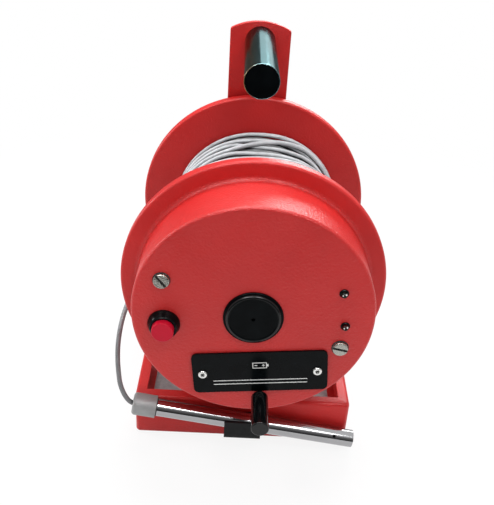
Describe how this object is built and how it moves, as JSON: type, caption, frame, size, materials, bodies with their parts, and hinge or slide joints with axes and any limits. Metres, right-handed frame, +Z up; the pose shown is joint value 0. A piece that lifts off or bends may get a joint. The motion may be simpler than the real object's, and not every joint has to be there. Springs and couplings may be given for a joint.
{
  "type": "water level meter",
  "caption": "Portable borehole water level meter: a cable reel turning on an open floor frame, with alarm housing, crank knob, tube handle and a steel probe in a clip.",
  "frame": {"origin": "middle of the base frame's footprint, on the floor plane", "axes": "+X to the right seen from the front, +Y from the alarm housing towards the upright, +Z up"},
  "size_m": [0.2246, 0.2783, 0.333],
  "materials": {
    "red_paint": "gloss enamel with a fine orange peel",
    "zinc_steel": "zinc plated",
    "bright_screw": "nickel plated",
    "black_screw": "blackened",
    "plated_tube": "polished plating",
    "bush_metal": "sintered bronze",
    "sounder_disc": "satin",
    "black_gloss": "moulded, gloss",
    "black_matte": "moulded, matte",
    "black_rubber": "matte",
    "red_button": "moulded, gloss",
    "green_lamp": "tinted, clear",
    "red_lamp": "tinted, clear",
    "battery_case": "printed metal jacket",
    "board_laminate": "laminate with solder resist",
    "probe_steel": "ground stainless steel",
    "cap_grey": "satin",
    "white_plastic": "turned",
    "cable_grey": "smooth jacket"
  },
  "bodies": {
    "stand": {"base_frame": "red_paint", "back_upright": "red_paint", "upright_screws": "zinc_steel", "upright_nuts": "zinc_steel", "handle_tube": "plated_tube", "handle_end_plug": "black_matte", "handle_insert": "zinc_steel", "handle_bolt": "zinc_steel", "axle": "zinc_steel", "axle_rear_washer": "zinc_steel", "axle_rear_nut": "zinc_steel", "axle_front_washer": "zinc_steel", "axle_front_nut": "zinc_steel", "probe_clip": "black_matte", "clip_screw_left": "black_screw", "clip_screw_right": "black_screw", "probe_body": "probe_steel", "probe_cap": "cap_grey", "probe_insulator": "white_plastic", "probe_electrode": "probe_steel", "cable_tail": "cable_grey"},
    "reel": {"rear_bush": "bush_metal", "front_bush": "bush_metal", "rear_hub": "zinc_steel", "front_hub": "zinc_steel", "rear_flange": "red_paint", "front_flange": "red_paint", "drum_core": "red_paint", "drum_grommet": "black_rubber", "housing_grommet": "black_rubber", "tie_bolts": "zinc_steel", "tie_nuts": "zinc_steel", "housing_shell": "red_paint", "housing_posts": "zinc_steel", "housing_seals": "black_rubber", "housing_screw_left": "bright_screw", "housing_screw_right": "bright_screw", "button_collar": "black_gloss", "button_nut": "zinc_steel", "buzzer_case": "black_gloss", "buzzer_element": "sounder_disc", "buzzer_nut": "zinc_steel", "lamp_holder_upper": "black_gloss", "lamp_holder_lower": "black_gloss", "lamp_green": "green_lamp", "lamp_red": "red_lamp", "battery_cover": "black_gloss", "cover_screw_left": "bright_screw", "cover_screw_right": "bright_screw", "battery_tray": "black_matte", "battery": "battery_case", "circuit_board": "board_laminate", "board_spacers": "zinc_steel", "crank_pin": "black_screw", "crank_pin_boss": "zinc_steel", "cable_winding": "cable_grey"},
    "knob": {"crank_knob": "black_gloss", "knob_cap": "black_gloss"},
    "push_button": {"button_cap": "red_button"}
  },
  "joints": [
    {"name": "reel_spin", "type": "hinge", "parent": "stand", "child": "reel", "pos_m": [0.0026, 0, 0.156], "axis": [0, 1, 0], "continuous": true},
    {"name": "knob_spin", "type": "hinge", "parent": "reel", "child": "knob", "pos_m": [0.01213, -0.14, 0.08107], "axis": [0, 1, 0], "continuous": true},
    {"name": "button_press", "type": "slide", "parent": "reel", "child": "push_button", "axis": [0, 1, 0], "range_m": [0, 0.003], "stiffness_N_per_m": 600}
  ]
}
